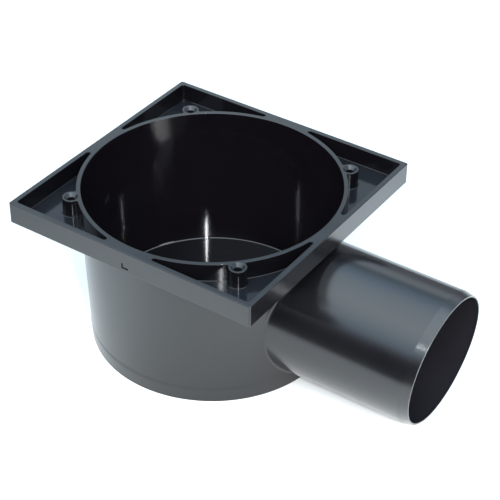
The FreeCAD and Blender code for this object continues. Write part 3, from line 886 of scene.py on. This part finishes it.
def seamTree():
    tree, given, out = newTree("partingLine", {
        "Geometry": "Geometry", "Start": "Vector", "End": "Vector",
        "Width": "Float", "Material": "Material"})
    line = addNode(tree, "GeometryNodeCurvePrimitiveLine", {
        "Start": given.outputs["Start"], "End": given.outputs["End"]})
    fine = addNode(tree, "GeometryNodeResampleCurve", {"Curve": line.outputs[0], "Count": seamLook["points"]})
    along = addNode(tree, "GeometryNodeSplineParameter")
    arch = addNode(tree, "ShaderNodeMath", {0: along.outputs["Factor"], 1: math.pi}, operation="MULTIPLY")
    rise = addNode(tree, "ShaderNodeMath", {0: arch.outputs[0]}, operation="SINE")
    firm = addNode(tree, "ShaderNodeMath", {0: rise.outputs[0], 1: seamLook["thinnest"]}, operation="MAXIMUM")
    taper = addNode(tree, "ShaderNodeMath", {0: firm.outputs[0], 1: seamLook["taper"]}, operation="POWER")
    rod = addNode(tree, "GeometryNodeCurvePrimitiveCircle", {
        "Resolution": seamLook["facets"], "Radius": given.outputs["Width"]})
    solid = addNode(tree, "GeometryNodeCurveToMesh", {
        "Curve": fine.outputs[0], "Profile Curve": rod.outputs[0],
        "Scale": taper.outputs[0], "Fill Caps": True})
    real = addNode(tree, "GeometryNodeRealizeInstances", {"Geometry": solid.outputs[0]})
    worn = addNode(tree, "GeometryNodeSetMaterial", {
        "Geometry": real.outputs[0], "Material": given.outputs["Material"]})
    tree.links.new(worn.outputs[0], out.inputs[0])
    return tree


def seamPoint(depth):
    angle = math.radians(seamLook["angle"])
    point = conePoint(angle, -depth) - coneNormal(angle) * seamLook["sunk"]
    return [float(value) * mm for value in point]


seamMesh = grow(bpy.data.objects.new("seamSeed", bpy.data.meshes.new("seamSeed")), seamTree(), {
    "Start": seamPoint(seamLook["top"]), "End": seamPoint(seamLook["bottom"]),
    "Width": seamLook["width"] * mm, "Material": plastics[satin]})
partingLine = addObject("partingLine", seamMesh)
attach(partingLine, "root")
print("parting line:", len(seamMesh.polygons), "faces")


# direction towards a view's azimuth and elevation
def viewWay(azimuth, elevation):
    turn, rise = math.radians(azimuth), math.radians(elevation)
    return Vector((math.sin(turn) * math.cos(rise), -math.cos(turn) * math.cos(rise), math.sin(rise)))


# pale floor with painted light and shade: a painted pool of light, whitest round the object, fading to grey
# farther out, and painted shade on two sides; lengths in metres
floorLook = {
    "reach": 2.5,  # to each side
    "centre": (-0.05, 0.1),  # middle of the whitest part, the painted pool of light
    "white": 0.3,  # its radius
    "grey": 0.5,  # radius at which it has turned grey
    "colour": (0.86, 0.84, 0.81),
    # colour of the painted shade far from the object
    "far": (0.04, 0.04, 0.044),
    "edges": (  # painted shade on two sides: azimuth, start, end, share
        (10.0, 0.172, 0.235, 1.0),
        (-127.0, -0.05, 0.09, 0.42),
    ),
    "cloudScale": 9.0,  # per metre
    "cloudShift": 0.02,  # how far the clouds move the edge of the white
    "rough": 0.7,
    "shine": 0.0,
}


def addFloor(look):
    reach = look["reach"]
    outline = [(x, y, low.z) for x, y in ((-reach, -reach), (reach, -reach), (reach, reach), (-reach, reach))]
    mesh = bpy.data.meshes.new("floor")
    mesh.from_pydata(outline, [], [(0, 1, 2, 3)])
    material, tree, shader, place = newMaterial("paleFloor")
    # the colour is painted light and shade: white round the middle, fading to grey farther out
    middle = (*look["centre"], low.z)
    away = addNode(tree, "ShaderNodeVectorMath", {0: place, 1: middle}, operation="DISTANCE")
    cloud = addNode(tree, "ShaderNodeTexNoise", {"Vector": place, "Scale": look["cloudScale"]})
    edge = addNode(tree, "ShaderNodeMath", {
        0: cloud.outputs["Fac"], 1: look["cloudShift"], 2: away.outputs["Value"]}, operation="MULTIPLY_ADD")
    fade = addNode(tree, "ShaderNodeMapRange", {
        "Value": edge.outputs[0], "From Min": look["white"], "From Max": look["grey"]},
        interpolation_type="SMOOTHSTEP")
    dark = fade.outputs[0]
    # painted shade darkens the floor towards two sides
    for azimuth, start, end, share in look["edges"]:
        along = addNode(tree, "ShaderNodeVectorMath", {
            0: place, 1: viewWay(azimuth, 0)}, operation="DOT_PRODUCT")
        dusk = addNode(tree, "ShaderNodeMapRange", {
            "Value": along.outputs["Value"], "From Min": start, "From Max": end, "To Max": share},
            interpolation_type="SMOOTHSTEP")
        darker = addNode(tree, "ShaderNodeMath", {0: dark, 1: dusk.outputs[0]}, operation="MAXIMUM")
        dark = darker.outputs[0]
    ramp = addNode(tree, "ShaderNodeValToRGB", {"Fac": dark})
    ramp.color_ramp.elements[0].color = (*look["colour"], 1)
    ramp.color_ramp.elements[1].color = (*look["far"], 1)
    tree.links.new(ramp.outputs[0], shader.inputs["Base Color"])
    shader.inputs["Roughness"].default_value = look["rough"]
    shader.inputs["Specular IOR Level"].default_value = look["shine"]
    mesh.materials.append(material)
    floor = addObject("floor", mesh)


addFloor(floorLook)
print("floor laid")


# soft studio light: a dome that is dim near the horizon, and panels; angles in degrees, lengths in metres
lightLook = {
    "strength": 4.4,
    "towards": -30.0,  # azimuth of the dome's front
    "blend": (-0.3, 0.4),  # where the back gives way to the front, along that direction
    "front": (  # height from the horizon to the zenith, and the light that comes from there
        (0.15, (0.012, 0.012, 0.013)),
        (0.3, (0.04, 0.042, 0.048)),
        (0.42, (0.22, 0.255, 0.31)),
        (0.5, (0.398, 0.5, 0.636)),
        (0.66, (0.568, 0.727, 0.841)),
        (0.79, (0.727, 0.864, 0.955)),
        (0.87, (0.795, 0.932, 1.0)),
    ),
    "back": (
        (0.03, (0.08, 0.08, 0.085)),
        (0.2, (0.09, 0.1, 0.12)),
        (0.39, (0.27, 0.315, 0.35)),
        (0.5, (0.38, 0.455, 0.48)),
        (0.56, (0.185, 0.232, 0.268)),
        (0.63, (0.115, 0.155, 0.198)),
        (0.71, (0.255, 0.37, 0.475)),
        (0.82, (0.36, 0.5, 0.67)),
        (1.0, (0.6, 0.74, 0.85)),
    ),
    "panels": {  # a window, a soft fill, a small lamp beside the camera, and a sheen that only gloss shows
        "window": {"azimuth": 79.5, "elevation": -5.8, "distance": 0.286, "size": (0.095, 0.118),
                   "power": 0.52, "colour": (0.98, 0.98, 1.0), "mirrored": True, "lights": True},
        "fill": {"azimuth": 20.0, "elevation": 42.0, "distance": 1.2, "size": (0.8, 0.8),
                 "power": 12.0, "colour": (1.0, 0.98, 0.95), "mirrored": False, "lights": True},
        "lamp": {"azimuth": 42.0, "elevation": 33.6, "distance": 0.83, "size": (0.012, 0.06),
                 "power": 2.8, "colour": (0.95, 0.98, 1.0), "mirrored": True, "lights": True},
        "sheen": {"azimuth": 90.0, "elevation": 72.0, "distance": 1.05, "size": (1.3, 0.6),
                  "power": 6.5, "colour": (0.96, 0.99, 1.0), "mirrored": True, "lights": False},
    },
}


def addPanel(name, look):
    data = bpy.data.lights.new(name, "AREA")
    data.shape = "RECTANGLE"
    data.size, data.size_y = look["size"]
    data.energy = look["power"]
    data.color = look["colour"]
    panel = addObject(name, data)
    way = viewWay(look["azimuth"], look["elevation"])
    turn = way.to_track_quat("Z", "Y").to_matrix().to_4x4()
    panel.matrix_world = Matrix.Translation(way * look["distance"]) @ turn
    panel.visible_glossy = look["mirrored"]
    panel.visible_diffuse = look["lights"]
    panel.visible_camera = False


def domeRamp(tree, height, shades):
    ramp = addNode(tree, "ShaderNodeValToRGB", {"Fac": height})
    stops = ramp.color_ramp.elements
    while len(stops) < len(shades):
        stops.new(1.0)  # it gets its place below
    for stop, (place, colour) in zip(stops, shades):
        stop.position = place
        stop.color = (*colour, 1)
    return ramp.outputs["Color"]


def addDome(look):
    world = bpy.data.worlds.new("studio")
    world.use_nodes = True
    tree = world.node_tree
    way = tree.nodes.new("ShaderNodeTexCoord").outputs["Generated"]
    height = addNode(tree, "ShaderNodeSeparateXYZ", {0: way}).outputs["Z"]
    side = addNode(tree, "ShaderNodeVectorMath", {
        0: way, 1: viewWay(look["towards"], 0)}, operation="DOT_PRODUCT")
    start, end = look["blend"]
    share = addNode(tree, "ShaderNodeMapRange", {
        "Value": side.outputs["Value"], "From Min": start, "From Max": end})
    ends = [domeRamp(tree, height, shades) for shades in (look["back"], look["front"])]
    background = tree.nodes["Background"]
    tree.links.new(mixColours(tree, share.outputs[0], ends), background.inputs["Color"])
    background.inputs["Strength"].default_value = look["strength"]
    bpy.context.scene.world = world


addDome(lightLook)
for name, look in lightLook["panels"].items():
    addPanel(name, look)
bpy.context.scene.view_settings.view_transform = "Standard"
print("lights set")


# camera at the photograph's angle; angles in degrees, lengths in metres
cameraLook = {
    "azimuth": 33.925,
    "elevation": 36.713,
    "roll": 0.632,
    "distance": 0.81053,
    "across": 0.01993,  # the aim's place in the picture plane, from the frame's centre
    "along": -0.03582,
    "lens": 109.96,  # mm
}


def addCamera(look):
    azimuth, roll = math.radians(look["azimuth"]), math.radians(look["roll"])
    level = Vector((math.cos(azimuth), math.sin(azimuth), 0))
    back = viewWay(look["azimuth"], look["elevation"])
    upright = back.cross(level)
    right = level * math.cos(roll) + upright * math.sin(roll)
    up = upright * math.cos(roll) - level * math.sin(roll)
    eye = right * look["across"] + up * look["along"] + back * look["distance"]
    data = bpy.data.cameras.new("camera")
    data.lens = look["lens"]
    camera = addObject("camera", data)
    camera.matrix_world = Matrix.Translation(eye) @ Matrix((right, up, back)).transposed().to_4x4()
    bpy.context.scene.camera = camera


addCamera(cameraLook)
